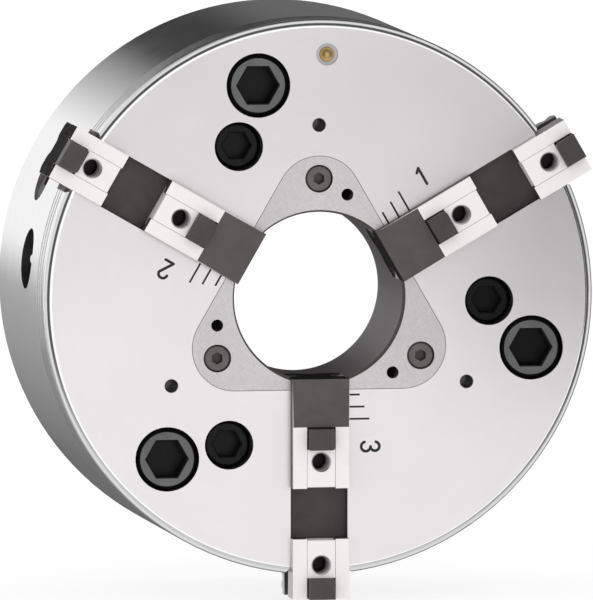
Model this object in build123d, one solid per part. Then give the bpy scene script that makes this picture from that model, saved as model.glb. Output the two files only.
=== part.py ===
from build123d import *
from math import cos, radians, sin, sqrt, tan
import os

# Three-jaw wedge-bar power chuck with quick jaw change: 215 mm outside, 66 mm through-hole.
#
# Drawing frame, millimetres: X right and Y up as the operator sees the chuck, Z along the
# spindle axis towards the operator, origin at the centre of the rear mounting face.
# A "depth" is measured from the front face towards the rear.  Everything that belongs to
# a jaw is drawn for a jaw along +X, so u (radial) is X and v (tangential) is Y, and is then
# turned to that jaw's own angle.  export_node() turns the drawing frame into the part's
# frame: +Z up, front of the chuck towards -Y.

# ---------------------------------------------------------------- driving dimensions
BODY_R = 107.5                # outside radius of the chuck
LENGTH = 108.0                # rear mounting face to front face
RIM_FILLET = 3.0
REAR_CHAMFER = 1.0
JAW_ANGLES = (30.0, 150.0, 270.0)
RUNNING = 0.05                # clearance per side of sliding and turning fits
STATIC = 0.02                 # clearance per side of located parts

GROOVE_DEPTHS = (8.3, 12.9, 17.4)   # shallow scallops round the outside
GROOVE_WIDTH = 2.4
GROOVE_SINK = 0.35

# Centre sleeve with its three-lobed cover
BORE_R = 33.0
SLEEVE_R = 36.0
SLEEVE_LENGTH = 56.0
BORE_LEAD_IN = 0.9            # steep chamfer at the mouth: radial size and depth
BORE_LEAD_IN_DEPTH = 2.0
COVER_THICKNESS = 8.0
COVER_GAP = 0.2               # all round the cover, in its seat
LOBE_R = 16.5
LOBE_CENTRE_R = 38.2
LOBE_TURN = 60.0              # lobes lie halfway between jaws
COVER_SCREW_R = 46.0
COVER_SCREW_SINK = 0.3
COVER_SCREW_HOLE = 20.0
JACK_HOLE_R = 41.2
JACK_HOLE_TURN = 44.4
JACK_HOLE_RADIUS = 2.35
SLEEVE_SEAL_DEPTH = 22.8
SEAL_SECTION = 0.9            # section radius of the O-rings
SEAL_GROOVE = 2.2             # width of their grooves

# Front wall, piston bore and rear recess of the body
FRONT_WALL = 24.5
PISTON_R = 56.0
FLANGE_R = 97.0
FLANGE_THICKNESS = 26.0
FLANGE_BORE_R = 57.0
FLANGE_CHAMFER = 0.5
TAPER_R = 69.86               # short taper gauge radius, size 8 spindle nose
TAPER_DEPTH = 14.0
TAPER_HALF_ANGLE = 7.125

# Socket-head screws: shank radius, head radius, head height, socket across flats, length
M16 = dict(shank_r=8.0, head_r=12.0, head_h=16.0, socket=14.0, length=120.0)
M12 = dict(shank_r=6.0, head_r=9.0, head_h=12.0, socket=10.0, length=75.0)
M6 = dict(shank_r=3.0, head_r=5.0, head_h=6.0, socket=5.0, length=16.0)
M6_COVER = dict(shank_r=3.0, head_r=5.2, head_h=6.0, socket=4.0, length=12.0)
MOUNT_SCREW_R = 85.7          # 171.4 bolt circle
MOUNT_SCREW_TURN = 76.1
MOUNT_SCREW_SINK = 0.8
MOUNT_COUNTERBORE_R = 12.5
MOUNT_HOLE_R = 9.25           # coarse clearance hole for M16
FLANGE_SCREW_R = 66.7         # 133.4 bolt circle
FLANGE_SCREW_TURN = 88.1
FLANGE_SCREW_SINK = 5.0
FLANGE_COUNTERBORE_R = 9.5
TAPPED_HOLE_R = 66.77
TAPPED_HOLE_TURN = 60.0
TAPPED_HOLE_RADIUS = 2.5
TAPPED_HOLE_DEPTH = 16.0
DOWEL_R = 88.0
DOWEL_TURN = 55.0
DOWEL_RADIUS = 4.0
DOWEL_SPAN = (73.0, 97.0)
SCREW_ROOM = 0.5              # extra radius of a clearance hole
HEAD_ROOM = 0.2               # extra radius of a close counterbore
HEAD_CHAMFER = 0.125          # of the head radius
SHANK_CHAMFER = 0.12          # of the shank radius
SOCKET_DEPTH = 0.55           # of the head height
SOCKET_EDGE = 0.035           # chamfer round the socket, of the distance across its flats
DOWEL_HOLE_ROOM = 1.0         # beyond each end of a dowel
TAPPED_HOLE_CHAMFER = 0.2

# Brass ball of the oiling point, beside the top of the face
OILER_R = 94.1
OILER_TURN = 58.1
OILER_BALL = 2.9
OILER_RECESS = 4.3
OILER_RECESS_SINK = 0.6
OILER_DEPTH = 6.0

# Jaw guideway and base jaws (radial stations are the clamping position)
JAW_HALF = 11.1
JAW_PROUD = 5.0
JAW_INNER = 31.2
JAW_OUTER = 116.4
WEB_HALF = 6.3
RIB_TOP = 6.5                 # guide ribs of the body run between these depths
RIB_BOTTOM = 14.0
JAW_ROOT = 18.6               # depth of the tooth roots on the back of a jaw
TOOTH_HEIGHT = 2.35
TOOTH_PITCH = 5.0             # along the jaw
TOOTH_MID = 2.4               # thickness of a tooth halfway up its flank
FLANK_RUN = 0.9               # sideways run of one flank
TOOTH_SLOPE = 0.3667          # jaw travel per millimetre of wedge-bar travel
SLOT_DEPTH = 21.1
SLOT_CHAMFER = 2.3
BLOCK_END = 49.8              # dark inner block ends, inner pad begins
BLOCK_SINK = 0.2
CROSS_CENTRE = 83.35
CROSS_HALF = 9.8
CROSS_FLOOR = 4.0
PAD_EDGE = 0.4
NUT_HALF = 5.5                # neck of the T-nuts
NUT_FOOT_HALF = 8.2
NUT_NECK_FLOOR = 0.5
NUT_FLOOR = 4.5
NUT_GAP = 0.5                 # nut ends, set back from the cross slot
NUT_SIDE_GAP = 0.1
NUT_EDGE = 0.1
NUT_SCREW_R = 3.4
NUT_SCREW_ROOM = 8.0          # depth left under a nut for the end of its screw
NUT_LEAD_IN = 0.5
NUT_SCREW_STATIONS = (63.3, 103.3)
KEY_LENGTH = 8.2
KEY_HALF = 5.05
KEY_RISE = 3.8
KEY_SEAT = 3.0
KEY_CORNER = 1.5
KEY_CHAMFER = 0.3

# Engraved travel scale beside every jaw: station along the jaw and line length
SCALE_LINES = ((37.8, 4.8), (42.5, 6.7), (47.2, 8.6))
SCALE_WIDTH = 0.75
SCALE_SINK = 0.3

# Jaw numbers engraved beside the guideways: place of the middle, height and stroke
NUMBER_U = 58.0
NUMBER_V = 20.0
NUMBER_HEIGHT = 7.0
NUMBER_STROKE = 1.1
NUMBER_SINK = 0.3

# Wedge bars
BAR_INNER = 50.5
BAR_OUTER = 74.5
BAR_START = -22.2
BAR_END = 25.8
BAR_FRONT = 21.2              # depth of the tooth roots on the bar
BAR_REAR = 64.0
RACK_MARGIN = 30.0            # racks are drawn this much longer, so that slanting leaves none bare
POCKET_START = -24.5
POCKET_END = 44.0
WEDGE_SLOPE = 0.9             # wedge-bar travel per millimetre of piston travel
WEDGE_HALF = 5.0              # half width of the inclined key, measured along v
WEDGE_KEY_INNER = 44.5
WEDGE_KEY_GAP = 0.2           # between the key's end and the floor of its groove
WEDGE_KEY_DEPTHS = (48.0, 64.0)
WEDGE_CENTRE_DEPTH = 65.0     # the groove crosses v = 0 at this depth

# Bar retainers behind the wedge bars
RETAINER_FLANGE_TOP = 72.0
RETAINER_FLANGE_OUTER = 84.0
RETAINER_SCREW_U = 79.0
RETAINER_SCREW_V = (-14.0, 34.0)
RETAINER_SCREW_SINK = 0.1
RETAINER_HOLE_END = 58.0

# Draw piston and its exchangeable draw-tube ring
PISTON_FRONT = 45.0
PISTON_REAR = 85.0
PISTON_BORE_R = 38.5
PISTON_LIP = 8.0
PISTON_CHAMFER = 0.8
PISTON_FLAT = 50.3
TUBE_RING_R = 44.0
TUBE_RING_FRONT = 69.0
TUBE_THREAD_R = 39.0
TUBE_LEAD_IN = 1.0
SPANNER_NOTCH = 6.0
SPANNER_NOTCH_DEPTH = 3.0

# Unlocking spindle and lock bolt of the quick jaw change
SPINDLE_V = 9.93
SPINDLE_DEPTH = 55.0
SPINDLE_BORE_R = 11.0
SPINDLE_STEP_U = 98.9
SPINDLE_FACE_U = 105.3
COLLAR_FACE_U = 103.6
CLIP_THICKNESS = 1.2
CLIP_INNER_R = 9.2
CLIP_GROOVE_R = 11.7
SPINDLE_SHAFT_R = 5.0
SPINDLE_SHAFT_END = 84.0
SPINDLE_HEAD_R = 9.0
SPINDLE_SOCKET = 8.0
SPINDLE_SOCKET_DEPTH = 5.0
BOLT_R = 8.0
BOLT_TIP_R = 3.5
BOLT_TIP_U = 70.5
BOLT_OUTER_U = 92.0
BOLT_HOLE_U = 78.0
BOLT_GAP = 0.3                # between the bolt's shoulder and the wedge bar
PISTON_TRAVEL = (-2.0, 20.0)
LOCK_SLOT_ROOM = 1.0          # beyond each end of the wedge bar's travel
CLIP_GAP_HALF = 2.0

# Grease nipples in their side recesses
GREASE_TURN = 23.1
GREASE_DEPTH = 45.5
GREASE_RECESS_R = 11.75
GREASE_FLOOR_R = 95.5
GREASE_PASSAGE_R = 1.5
NIPPLE_THREAD_R = 3.0
NIPPLE_THREAD_LENGTH = 5.0
NIPPLE_HEX = 8.0
NIPPLE_HEX_HEIGHT = 3.5
NIPPLE_NECK_R = 2.1
NIPPLE_HEAD_R = 2.75
NIPPLE_TOP_R = 106.2
NIPPLE_BALL_R = 0.8

OVER = 2.0                    # how far a cutter passes through a surface
STANDING = (Align.CENTER, Align.CENTER, Align.MIN)


# ---------------------------------------------------------------- drawing helpers
def polar(r, turn):
    """The u and v of a place given by its radius and angle."""
    return r * cos(radians(turn)), r * sin(radians(turn))


def rod(radius, near, far, u=0.0, v=0.0):
    """Cylinder along the spindle axis between two depths."""
    return Pos(u, v, LENGTH - far) * Cylinder(radius, far - near, align=STANDING)


def cone(r_near, r_far, near, far, u=0.0, v=0.0):
    """Cone along the spindle axis with one radius at each depth."""
    return Pos(u, v, LENGTH - far) * Cone(r_far, r_near, far - near, align=STANDING)


def groove(inner_r, outer_r, width, depth):
    """Cutter for a square groove round the axis, centred on a depth."""
    span = (depth - width / 2, depth + width / 2)
    return rod(outer_r, *span) - rod(inner_r, *span)


def block(u, v, depths):
    """Box from (low, high) pairs along u, v and depth."""
    size = (u[1] - u[0], v[1] - v[0], depths[1] - depths[0])
    corner = Pos(u[0], v[0], LENGTH - depths[1])
    return corner * Box(*size, align=(Align.MIN, Align.MIN, Align.MIN))


def radial_rod(radius, inner, outer, v, depth):
    """Cylinder along u."""
    place = Pos(inner, v, LENGTH - depth) * Rot(Y=90)
    return place * Cylinder(radius, outer - inner, align=STANDING)


def turned(shape, turn):
    return Rot(Z=turn) * shape


def at_each_jaw(shape):
    """The same shape at all three jaws."""
    return [turned(shape, angle) for angle in JAW_ANGLES]


def cap_screw(shank_r, head_r, head_h, socket, length):
    """Socket-head screw with the top of its head at the origin, pointing along -Z."""
    head = Pos(Z=-head_h) * Cylinder(head_r, head_h, align=STANDING)
    head = chamfer(head.edges().group_by(Axis.Z)[-1], head_r * HEAD_CHAMFER)
    shank = Pos(Z=-head_h - length) * Cylinder(shank_r, length, align=STANDING)
    shank = chamfer(shank.edges().group_by(Axis.Z)[0], shank_r * SHANK_CHAMFER)
    hexagon = RegularPolygon(socket / 2, 6, major_radius=False)
    recess = extrude(Pos(Z=-head_h * SOCKET_DEPTH) * hexagon, head_h)
    edge = socket * SOCKET_EDGE
    mouth = RegularPolygon(socket / 2 + edge, 6, major_radius=False)
    lead_in = extrude(mouth, -edge, taper=45)
    return head + shank - recess - lead_in


def screw_at(sizes, r, turn, sink, hex_turn=0.0):
    """Screw facing the operator, its head top sunk below the front face."""
    return Pos(*polar(r, turn), LENGTH - sink) * Rot(Z=hex_turn) * cap_screw(**sizes)


# ---------------------------------------------------------------- shared cutters
def guideway_cutter():
    """T-shaped guideway of one jaw, open at the centre and at the outside."""
    side = JAW_HALF + RUNNING
    web = WEB_HALF + 2 * RUNNING
    reach = (0.0, BODY_R + OVER)
    upper = block(reach, (-side, side), (-OVER, RIB_TOP + 2 * RUNNING))
    middle = block(reach, (-web, web), (RIB_TOP, RIB_BOTTOM))
    lower = block(reach, (-side, side), (RIB_BOTTOM - 2 * RUNNING, SLOT_DEPTH))
    return upper + middle + lower


def slot_mouth_cutter():
    """Chamfers where the sides of a guideway meet the outside of the body."""
    side = JAW_HALF + RUNNING
    rim = sqrt(BODY_R ** 2 - side ** 2)
    outline = Polyline(
        (rim - SLOT_CHAMFER, side), (rim + OVER, side + SLOT_CHAMFER + OVER),
        (rim + OVER, -side - SLOT_CHAMFER - OVER), (rim - SLOT_CHAMFER, -side), close=True)
    return extrude(Pos(Z=LENGTH - SLOT_DEPTH) * make_face(outline), SLOT_DEPTH + OVER)


def lobed_outline(grow):
    """Rounded triangle: the hull of the three lobes, grown by a clearance."""
    lobes = Sketch() + [
        Rot(Z=angle + LOBE_TURN) * Pos(X=LOBE_CENTRE_R) * Circle(LOBE_R + grow)
        for angle in JAW_ANGLES]
    return make_hull(lobes.edges())


def rack_outline(first, last, root, tip, phase, backing):
    """Comb of trapezoid teeth on the X-Z plane, standing from root to tip depth."""
    tooth_root = (TOOTH_MID + FLANK_RUN) / 2
    tooth_tip = (TOOTH_MID - FLANK_RUN) / 2
    points = [(first, LENGTH - backing), (first, LENGTH - root)]
    centre = first + phase
    while centre + tooth_root < last:
        points.append((centre - tooth_root, LENGTH - root))
        points.append((centre - tooth_tip, LENGTH - tip))
        points.append((centre + tooth_tip, LENGTH - tip))
        points.append((centre + tooth_root, LENGTH - root))
        centre += TOOTH_PITCH
    points.append((last, LENGTH - root))
    points.append((last, LENGTH - backing))
    return make_face(Plane.XZ * Polyline(*points, close=True))


def slanted_rack(first, last, root, tip, phase, backing, reach):
    """Rack whose tooth lines run at TOOTH_SLOPE across the jaw, reach to both sides."""
    slant = Vector(-TOOTH_SLOPE, 1, 0)
    start = Pos(TOOTH_SLOPE * reach, -reach, 0)
    face = start * rack_outline(first, last, root, tip, phase, backing)
    return extrude(face, 2 * reach * slant.length, dir=slant)


def wedge_prism(half, u, depths):
    """Inclined key or groove: a prism along u that leans by WEDGE_SLOPE."""
    def corner(depth, side):
        v = WEDGE_SLOPE * (depth - WEDGE_CENTRE_DEPTH) + side * half
        return (v, LENGTH - depth)
    near, far = depths
    outline = Polyline(corner(near, -1), corner(near, 1), corner(far, 1), corner(far, -1), close=True)
    return extrude(Pos(X=u[0]) * (Plane.YZ * make_face(outline)), u[1] - u[0])


# ---------------------------------------------------------------- housing
def body_blank():
    """Outer shape of the body with its rim, scallops and stepped bore."""
    blank = rod(BODY_R, 0, LENGTH)
    blank = fillet(blank.edges().group_by(Axis.Z)[-1], RIM_FILLET)
    blank = chamfer(blank.edges().group_by(Axis.Z)[0], REAR_CHAMFER)
    scallop_r = (GROOVE_WIDTH ** 2 / 4 + GROOVE_SINK ** 2) / (2 * GROOVE_SINK)
    for depth in GROOVE_DEPTHS:
        blank -= Pos(Z=LENGTH - depth) * Torus(BODY_R + scallop_r - GROOVE_SINK, scallop_r)
    blank -= rod(SLEEVE_R + STATIC, -OVER, FRONT_WALL + OVER)
    blank -= rod(PISTON_R + RUNNING, FRONT_WALL, LENGTH + OVER)
    blank -= rod(FLANGE_R, LENGTH - FLANGE_THICKNESS, LENGTH + OVER)
    cover_seat = Pos(Z=LENGTH - COVER_THICKNESS) * lobed_outline(COVER_GAP)
    return blank - extrude(cover_seat, COVER_THICKNESS + OVER)


def bar_pocket():
    """Pocket of one wedge bar with the stepped seat of its retainer, open to the rear."""
    span = (POCKET_START, POCKET_END)
    rear = LENGTH - FLANGE_THICKNESS + OVER
    pocket = block((BAR_INNER - RUNNING, BAR_OUTER + RUNNING), span, (JAW_ROOT, rear))
    seat = block((BAR_INNER - RUNNING, RETAINER_FLANGE_OUTER + STATIC), span, (RETAINER_FLANGE_TOP, rear))
    return pocket + seat


def side_bores():
    """Spindle bore and grease recess in the outside of the body, for one jaw."""
    spindle = radial_rod(SPINDLE_BORE_R, SPINDLE_STEP_U, BODY_R + OVER, SPINDLE_V, SPINDLE_DEPTH)
    spindle += radial_rod(BOLT_R + RUNNING, BAR_OUTER - OVER, SPINDLE_STEP_U + OVER, SPINDLE_V, SPINDLE_DEPTH)
    spindle += radial_rod(CLIP_GROOVE_R, COLLAR_FACE_U + RUNNING, COLLAR_FACE_U + RUNNING + CLIP_THICKNESS,
                          SPINDLE_V, SPINDLE_DEPTH)
    recess = radial_rod(GREASE_RECESS_R, GREASE_FLOOR_R, BODY_R + OVER, 0, GREASE_DEPTH)
    thread_end = GREASE_FLOOR_R - NIPPLE_THREAD_LENGTH - 1
    recess += radial_rod(GREASE_PASSAGE_R, BAR_OUTER, GREASE_FLOOR_R + OVER, 0, GREASE_DEPTH)
    recess += radial_rod(NIPPLE_THREAD_R, thread_end, GREASE_FLOOR_R + OVER, 0, GREASE_DEPTH)
    return spindle + turned(recess, GREASE_TURN)


def face_holes():
    """Screw, dowel and tapped holes that repeat with every jaw."""
    place = polar(MOUNT_SCREW_R, MOUNT_SCREW_TURN)
    seat = MOUNT_SCREW_SINK + M16["head_h"]
    holes = rod(MOUNT_COUNTERBORE_R, -OVER, seat, *place)
    holes += rod(MOUNT_HOLE_R, seat, LENGTH, *place)
    place = polar(FLANGE_SCREW_R, FLANGE_SCREW_TURN)
    seat = FLANGE_SCREW_SINK + M12["head_h"]
    holes += rod(FLANGE_COUNTERBORE_R, -OVER, seat, *place)
    holes += rod(M12["shank_r"] + SCREW_ROOM, seat, LENGTH, *place)
    place = polar(TAPPED_HOLE_R, TAPPED_HOLE_TURN)
    holes += rod(TAPPED_HOLE_RADIUS, -OVER, TAPPED_HOLE_DEPTH, *place)
    mouth = TAPPED_HOLE_RADIUS + TAPPED_HOLE_CHAMFER
    holes += cone(mouth, TAPPED_HOLE_RADIUS, 0, TAPPED_HOLE_CHAMFER, *place)
    holes += rod(M6_COVER["shank_r"] + STATIC, 0, COVER_SCREW_HOLE, *polar(COVER_SCREW_R, LOBE_TURN))
    holes += rod(DOWEL_RADIUS, DOWEL_SPAN[0] - DOWEL_HOLE_ROOM, LENGTH, *polar(DOWEL_R, DOWEL_TURN))
    for v in RETAINER_SCREW_V:
        holes += rod(M6["shank_r"] + STATIC, RETAINER_HOLE_END, LENGTH - FLANGE_THICKNESS,
                     RETAINER_SCREW_U, v)
    return holes


def scale_lines():
    """Travel scale engraved beside one jaw."""
    edge = JAW_HALF
    lines = [block((station - SCALE_WIDTH / 2, station + SCALE_WIDTH / 2),
                   (edge, edge + length), (-OVER, SCALE_SINK))
             for station, length in SCALE_LINES]
    return lines[0] + lines[1:]


def digit_strokes(number):
    """Centre lines of 1, 2 or 3 in a cell one unit high and half a unit wide."""
    if number == 1:
        return [Line((0.05, 0), (0.05, 1)), Line((0.05, 1), (-0.15, 0.8))]
    if number == 2:
        return [ThreePointArc((-0.25, 0.75), (0, 1), (0.25, 0.75)), Line((0.25, 0.75), (-0.25, 0)),
                Line((-0.25, 0), (0.25, 0))]
    return [ThreePointArc((-0.25, 0.82), (0.24, 0.76), (0, 0.52)),
            ThreePointArc((0, 0.52), (0.26, 0.24), (-0.25, 0.18))]


def jaw_number(number):
    """Cutter for a jaw number that reads from the centre outwards."""
    cell = Pos(NUMBER_U, NUMBER_V - NUMBER_HEIGHT / 2, LENGTH - NUMBER_SINK)
    cutter = Part()
    for stroke in digit_strokes(number):
        line = scale(stroke, NUMBER_HEIGHT)
        cutter += extrude(cell * trace(line, NUMBER_STROKE), NUMBER_SINK + OVER)
        for end in (line @ 0, line @ 1):
            cutter += cell * Pos(end) * Cylinder(NUMBER_STROKE / 2, NUMBER_SINK + OVER, align=STANDING)
    return cutter


def chuck_body():
    body = body_blank()
    sector = guideway_cutter() + slot_mouth_cutter() + bar_pocket() + side_bores()
    sector = sector + face_holes() + scale_lines()
    body -= at_each_jaw(sector)
    body -= [turned(jaw_number(number), angle) for number, angle in enumerate(JAW_ANGLES, start=1)]
    place = polar(OILER_R, JAW_ANGLES[0] + OILER_TURN)
    body -= rod(OILER_RECESS, -OVER, OILER_RECESS_SINK, *place)
    return body - rod(OILER_BALL, 0, OILER_DEPTH + 1, *place)


def mounting_flange():
    """Rear flange with the short taper that centres the chuck on the spindle nose."""
    front = LENGTH - FLANGE_THICKNESS
    flange = rod(FLANGE_R - STATIC, front, LENGTH)
    flange = chamfer(flange.edges().group_by(Axis.Z)[0], FLANGE_CHAMFER)
    flange -= rod(FLANGE_BORE_R, front - OVER, LENGTH + OVER)
    shrink = TAPER_DEPTH * tan(radians(TAPER_HALF_ANGLE))
    flange -= cone(TAPER_R - shrink, TAPER_R, LENGTH - TAPER_DEPTH, LENGTH)
    holes = rod(MOUNT_HOLE_R, front - OVER, LENGTH + OVER, *polar(MOUNT_SCREW_R, MOUNT_SCREW_TURN))
    screw_end = FLANGE_SCREW_SINK + M12["head_h"] + M12["length"]
    holes += rod(M12["shank_r"] + STATIC, front - OVER, screw_end + 1,
                 *polar(FLANGE_SCREW_R, FLANGE_SCREW_TURN))
    holes += rod(DOWEL_RADIUS, front - OVER, DOWEL_SPAN[1] + DOWEL_HOLE_ROOM, *polar(DOWEL_R, DOWEL_TURN))
    return flange - at_each_jaw(holes)


def centre_sleeve():
    """Protection sleeve of the through-hole in one piece with the lobed front cover."""
    sleeve = rod(SLEEVE_R, 0, SLEEVE_LENGTH)
    sleeve += extrude(Pos(Z=LENGTH - COVER_THICKNESS) * lobed_outline(0), COVER_THICKNESS)
    sleeve -= rod(BORE_R, -OVER, SLEEVE_LENGTH + OVER)
    sleeve -= cone(BORE_R + BORE_LEAD_IN, BORE_R, 0, BORE_LEAD_IN_DEPTH)
    sleeve -= groove(SLEEVE_R - 2 * SEAL_SECTION, SLEEVE_R + OVER, SEAL_GROOVE, SLEEVE_SEAL_DEPTH)
    holes = guideway_cutter()
    place = polar(COVER_SCREW_R, LOBE_TURN)
    holes += rod(M6_COVER["shank_r"] + SCREW_ROOM, -OVER, COVER_THICKNESS + OVER, *place)
    holes += rod(M6_COVER["head_r"] + HEAD_ROOM, -OVER, COVER_SCREW_SINK + M6_COVER["head_h"], *place)
    holes += rod(JACK_HOLE_RADIUS, -OVER, COVER_THICKNESS + OVER, *polar(JACK_HOLE_R, JACK_HOLE_TURN))
    return sleeve - at_each_jaw(holes)


def o_ring(centre_r, depth):
    """Seal ring that just touches neither side of its gap."""
    return Pos(Z=LENGTH - depth) * Torus(centre_r, SEAL_SECTION - STATIC)


def cover_screws():
    return at_each_jaw(screw_at(M6_COVER, COVER_SCREW_R, LOBE_TURN, COVER_SCREW_SINK, LOBE_TURN))


def mounting_screws():
    """Each socket is left with two corners level, as seen by the operator."""
    return [screw_at(M16, MOUNT_SCREW_R, MOUNT_SCREW_TURN + angle, MOUNT_SCREW_SINK)
            for angle in JAW_ANGLES]


def flange_screws():
    return [screw_at(M12, FLANGE_SCREW_R, FLANGE_SCREW_TURN + angle, FLANGE_SCREW_SINK)
            for angle in JAW_ANGLES]


def flange_dowels():
    return at_each_jaw(rod(DOWEL_RADIUS - STATIC, *DOWEL_SPAN, *polar(DOWEL_R, DOWEL_TURN)))


def bar_retainer():
    """Stepped block that closes a wedge-bar pocket from the rear."""
    rear = LENGTH - FLANGE_THICKNESS
    span = (POCKET_START + RUNNING, POCKET_END - RUNNING)
    retainer = block((BAR_INNER + RUNNING, BAR_OUTER), span, (BAR_REAR + 2 * RUNNING, rear))
    retainer += block((BAR_INNER + RUNNING, RETAINER_FLANGE_OUTER), span, (RETAINER_FLANGE_TOP, rear))
    for v in RETAINER_SCREW_V:
        retainer -= rod(M6["shank_r"] + SCREW_ROOM, RETAINER_FLANGE_TOP - OVER, rear + OVER,
                        RETAINER_SCREW_U, v)
        retainer -= rod(M6["head_r"] + HEAD_ROOM, rear - M6["head_h"] - RETAINER_SCREW_SINK, rear + OVER,
                        RETAINER_SCREW_U, v)
    return retainer


def retainer_screws():
    """Two screws per retainer, heads towards the rear."""
    head_top = FLANGE_THICKNESS + RETAINER_SCREW_SINK
    pair = [Pos(RETAINER_SCREW_U, v, head_top) * Rot(X=180) * cap_screw(**M6) for v in RETAINER_SCREW_V]
    return [turned(screw, angle) for angle in JAW_ANGLES for screw in pair]


def grease_nipple():
    """Nipple with hexagon, neck and round head, standing on the recess floor along +X."""
    place = Pos(GREASE_FLOOR_R, 0, LENGTH - GREASE_DEPTH) * Rot(Y=90)
    hexagon = extrude(RegularPolygon(NIPPLE_HEX / 2, 6, major_radius=False), NIPPLE_HEX_HEIGHT)
    stem = Pos(Z=-NIPPLE_THREAD_LENGTH) * Cylinder(
        NIPPLE_THREAD_R - STATIC, NIPPLE_THREAD_LENGTH, align=STANDING)
    head_centre = NIPPLE_TOP_R - GREASE_FLOOR_R - NIPPLE_HEAD_R
    neck = Cylinder(NIPPLE_NECK_R, head_centre, align=STANDING)
    head = Pos(Z=head_centre) * Sphere(NIPPLE_HEAD_R)
    ball_hole = Pos(Z=head_centre + NIPPLE_HEAD_R - 1) * Cylinder(NIPPLE_BALL_R, OVER, align=STANDING)
    return turned(place * (hexagon + stem + neck + head - ball_hole), GREASE_TURN)


def oiler_ball():
    """Brass ball plug that stands proud of its ring recess."""
    place = polar(OILER_R, JAW_ANGLES[0] + OILER_TURN)
    radius = OILER_BALL - STATIC
    ball = Pos(*place, LENGTH - OILER_RECESS_SINK) * Sphere(radius)
    return ball + rod(radius, OILER_RECESS_SINK, OILER_DEPTH, *place)


def spindle_clip():
    """Retaining ring in front of the spindle collar, with the gap of a circlip."""
    near = COLLAR_FACE_U + RUNNING + STATIC
    far = near + CLIP_THICKNESS - 2 * STATIC
    clip = radial_rod(CLIP_GROOVE_R - STATIC, near, far, SPINDLE_V, SPINDLE_DEPTH)
    clip -= radial_rod(CLIP_INNER_R, near - OVER, far + OVER, SPINDLE_V, SPINDLE_DEPTH)
    gap = block((near - OVER, far + OVER), (SPINDLE_V - CLIP_GAP_HALF, SPINDLE_V + CLIP_GAP_HALF),
                (SPINDLE_DEPTH, SPINDLE_DEPTH + CLIP_GROOVE_R + OVER))
    return clip - gap


# ---------------------------------------------------------------- moving parts
def draw_piston():
    """Piston ring with three flats, each carrying an inclined wedge groove."""
    piston = rod(PISTON_R, PISTON_FRONT, PISTON_REAR)
    piston = chamfer(piston.edges().group_by(Axis.Z)[-1], PISTON_CHAMFER)
    piston -= rod(SLEEVE_R + RUNNING, PISTON_FRONT - OVER, PISTON_REAR)
    piston -= rod(PISTON_BORE_R, PISTON_FRONT + PISTON_LIP, PISTON_REAR)
    piston -= rod(TUBE_RING_R, TUBE_RING_FRONT, PISTON_REAR + OVER)
    piston -= groove(SLEEVE_R, SLEEVE_R + 2 * SEAL_SECTION + RUNNING, SEAL_GROOVE,
                     PISTON_FRONT + PISTON_LIP / 2)
    through = (PISTON_FRONT - OVER, PISTON_REAR + OVER)
    flat = block((PISTON_FLAT, PISTON_R + OVER), (-PISTON_R, PISTON_R), through)
    keyway_u = (WEDGE_KEY_INNER - WEDGE_KEY_GAP, PISTON_R + OVER)
    wedge_groove = wedge_prism(WEDGE_HALF + 2 * RUNNING, keyway_u, through)
    return piston - at_each_jaw(flat + wedge_groove)


def draw_tube_ring():
    """Exchangeable threaded ring that takes the draw tube, with spanner notches."""
    ring = rod(TUBE_RING_R - STATIC, TUBE_RING_FRONT + STATIC, PISTON_REAR)
    ring -= rod(TUBE_THREAD_R, TUBE_RING_FRONT - OVER, PISTON_REAR + OVER)
    ring -= cone(TUBE_THREAD_R, TUBE_THREAD_R + TUBE_LEAD_IN, PISTON_REAR - TUBE_LEAD_IN, PISTON_REAR)
    notch = block((TUBE_THREAD_R - OVER, TUBE_RING_R + OVER), (-SPANNER_NOTCH / 2, SPANNER_NOTCH / 2),
                  (PISTON_REAR - SPANNER_NOTCH_DEPTH, PISTON_REAR + OVER))
    return ring - [turned(notch, 90 * step) for step in range(4)]


def wedge_bar():
    """Bar with an inclined key for the piston and a slanted rack for the jaw."""
    rack_tip = BAR_FRONT - TOOTH_HEIGHT
    rack_back = BAR_FRONT + 2 * OVER
    rack = slanted_rack(BAR_INNER - RACK_MARGIN, BAR_OUTER + RACK_MARGIN, BAR_FRONT, rack_tip,
                        bar_rack_phase(), rack_back, BAR_END + OVER)
    bar = block((BAR_INNER, BAR_OUTER), (BAR_START, BAR_END), (rack_tip, rack_back)) & rack
    bar += block((BAR_INNER, BAR_OUTER), (BAR_START, BAR_END), (BAR_FRONT + OVER, BAR_REAR))
    bar += wedge_prism(WEDGE_HALF, (WEDGE_KEY_INNER, BAR_INNER + 1), WEDGE_KEY_DEPTHS)
    return bar - lock_slot()


def bar_rack_phase():
    """Bar teeth stand in the middle of the jaw's gaps."""
    jaw_first_tooth = JAW_INNER + TOOTH_PITCH / 2
    offset = (jaw_first_tooth + TOOTH_PITCH / 2) - (BAR_INNER - RACK_MARGIN)
    return offset % TOOTH_PITCH


def lock_slot():
    """Slot for the tip of the lock bolt, as long as the bar's own travel."""
    room = BOLT_TIP_R + 2 * RUNNING
    start = SPINDLE_V - WEDGE_SLOPE * PISTON_TRAVEL[1] - LOCK_SLOT_ROOM
    end = SPINDLE_V - WEDGE_SLOPE * PISTON_TRAVEL[0] + LOCK_SLOT_ROOM
    floor = BOLT_TIP_U - LOCK_SLOT_ROOM
    slot = block((floor, BAR_OUTER + OVER), (start, end), (SPINDLE_DEPTH - room, SPINDLE_DEPTH + room))
    for v in (start, end):
        slot += radial_rod(room, floor, BAR_OUTER + OVER, v, SPINDLE_DEPTH)
    return slot


def pad_spans():
    """Radial spans of the inner and the outer pad of a base jaw."""
    inner = (BLOCK_END, CROSS_CENTRE - CROSS_HALF)
    outer = (CROSS_CENTRE + CROSS_HALF, JAW_OUTER)
    return inner, outer


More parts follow.
